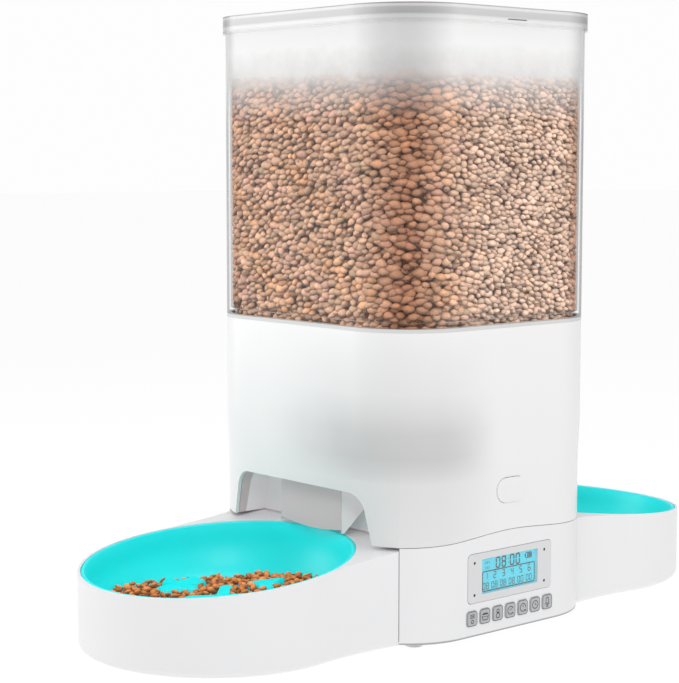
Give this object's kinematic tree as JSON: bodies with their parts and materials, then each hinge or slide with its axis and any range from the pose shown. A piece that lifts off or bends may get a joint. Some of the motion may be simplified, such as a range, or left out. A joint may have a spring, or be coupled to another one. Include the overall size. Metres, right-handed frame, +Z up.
{
  "type": "automatic pet feeder",
  "caption": "Automatic dry-food feeder: clear hopper tower on a white base with a display and keys, feeding a slide-out bowl tray on each side.",
  "frame": {"origin": "centre of the footprint on the table, under the middle of the tower", "axes": "+Z up, X along the line of the two bowls, -Y towards the control panel"},
  "size_m": [0.4612, 0.1974, 0.375],
  "materials": {
    "white_shell": "satin",
    "white_matte": "matte",
    "clear_shell": "gloss",
    "clear_lid": "gloss",
    "seal_grey": "matte",
    "gasket_white": "matte",
    "inner_grey": "matte",
    "rotor_white": "matte",
    "soft_rubber": "matte",
    "chute_grey": "satin",
    "bowl_turquoise": "gloss",
    "gearbox_black": "matte",
    "motor_steel": "brushed",
    "screw_steel": "bright",
    "cell_metal": "printed sleeve",
    "contact_steel": "plated",
    "bezel_grey": "satin",
    "pin_dark": "matte",
    "window_clear": "gloss",
    "lcd_glow": "lit",
    "board_green": "solder mask",
    "key_grey": "matte",
    "foot_rubber": "matte"
  },
  "bodies": {
    "base": {"housing": "white_shell", "base_shell": "white_shell", "socket_panel": "white_shell", "base_plate": "white_matte", "tank_gasket": "gasket_white", "hopper_funnel": "white_matte", "drum_casing": "inner_grey", "metering_plate": "inner_grey", "drum_deck": "white_matte", "chute_left": "chute_grey", "chute_right": "chute_grey", "gearbox": "gearbox_black", "motor": "motor_steel", "motor_posts": "white_matte", "motor_screws": "screw_steel", "base_screws": "screw_steel", "board_screws": "screw_steel", "battery_tray": "white_matte", "battery_cells": "cell_metal", "battery_contacts": "contact_steel", "display_bezel": "bezel_grey", "bezel_pins": "pin_dark", "display_window": "window_clear", "lcd_module": "lcd_glow", "tact_switches": "gearbox_black", "button_board": "board_green", "main_board": "board_green", "board_components": "gearbox_black", "speaker": "motor_steel", "microphone": "motor_steel", "power_inlet": "gearbox_black", "base_feet": "foot_rubber"},
    "tank": {"hopper_tank": "clear_shell"},
    "lid": {"lid": "clear_lid", "lid_seal": "seal_grey"},
    "rotor": {"rotor": "rotor_white", "stirrer": "soft_rubber", "drive_hub": "gearbox_black"},
    "tray_left": {"tray_left": "white_shell", "tray_feet_left": "foot_rubber"},
    "tray_right": {"tray_right": "white_shell", "tray_feet_right": "foot_rubber"},
    "bowl_left": {"bowl_left": "bowl_turquoise"},
    "bowl_right": {"bowl_right": "bowl_turquoise"},
    "release": {"release_button": "white_shell"},
    "battery_door": {"battery_door": "white_matte"},
    "key_menu": {"button_menu": "key_grey"},
    "key_portion": {"button_portion": "key_grey"},
    "key_lock": {"button_lock": "key_grey"},
    "key_clock_back": {"button_clock_back": "key_grey"},
    "key_clock_set": {"button_clock_set": "key_grey"},
    "key_clock": {"button_clock": "key_grey"},
    "key_record": {"button_record": "key_grey"}
  },
  "joints": [
    {"name": "tank_lift", "type": "slide", "parent": "base", "child": "tank", "axis": [0, 0, 1], "range_m": [0, 0.08]},
    {"name": "lid_lift", "type": "slide", "parent": "tank", "child": "lid", "axis": [0, 0, 1], "range_m": [0, 0.05]},
    {"name": "tray_left_slide", "type": "slide", "parent": "base", "child": "tray_left", "axis": [-1, 0, 0], "range_m": [0, 0.06]},
    {"name": "tray_right_slide", "type": "slide", "parent": "base", "child": "tray_right", "axis": [1, 0, 0], "range_m": [0, 0.06]},
    {"name": "bowl_left_tilt", "type": "hinge", "parent": "tray_left", "child": "bowl_left", "pos_m": [-0.06662, 0, 0.05911], "axis": [0, 1, 0], "range_deg": [0, 11]},
    {"name": "bowl_right_tilt", "type": "hinge", "parent": "tray_right", "child": "bowl_right", "pos_m": [0.06662, 0, 0.05911], "axis": [0, -1, 0], "range_deg": [0, 11]},
    {"name": "rotor_spin", "type": "hinge", "parent": "base", "child": "rotor", "pos_m": [0, 0, 0.113], "axis": [0, 0, 1], "continuous": true},
    {"name": "key_menu_press", "type": "slide", "parent": "base", "child": "key_menu", "axis": [0, 1, 0], "range_m": [0, 0.0008], "stiffness_N_per_m": 300, "springref_m": -0.0005},
    {"name": "key_portion_press", "type": "slide", "parent": "base", "child": "key_portion", "axis": [0, 1, 0], "range_m": [0, 0.0008], "stiffness_N_per_m": 300, "springref_m": -0.0005},
    {"name": "key_lock_press", "type": "slide", "parent": "base", "child": "key_lock", "axis": [0, 1, 0], "range_m": [0, 0.0008], "stiffness_N_per_m": 300, "springref_m": -0.0005},
    {"name": "key_clock_back_press", "type": "slide", "parent": "base", "child": "key_clock_back", "axis": [0, 1, 0], "range_m": [0, 0.0008], "stiffness_N_per_m": 300, "springref_m": -0.0005},
    {"name": "key_clock_set_press", "type": "slide", "parent": "base", "child": "key_clock_set", "axis": [0, 1, 0], "range_m": [0, 0.0008], "stiffness_N_per_m": 300, "springref_m": -0.0005},
    {"name": "key_clock_press", "type": "slide", "parent": "base", "child": "key_clock", "axis": [0, 1, 0], "range_m": [0, 0.0008], "stiffness_N_per_m": 300, "springref_m": -0.0005},
    {"name": "key_record_press", "type": "slide", "parent": "base", "child": "key_record", "axis": [0, 1, 0], "range_m": [0, 0.0008], "stiffness_N_per_m": 300, "springref_m": -0.0005},
    {"name": "release_press", "type": "slide", "parent": "base", "child": "release", "axis": [0, 1, 0], "range_m": [0, 0.0025], "stiffness_N_per_m": 400, "springref_m": -0.001},
    {"name": "battery_door_slide", "type": "slide", "parent": "base", "child": "battery_door", "axis": [0, 1, 0], "range_m": [0, 0.06]}
  ]
}
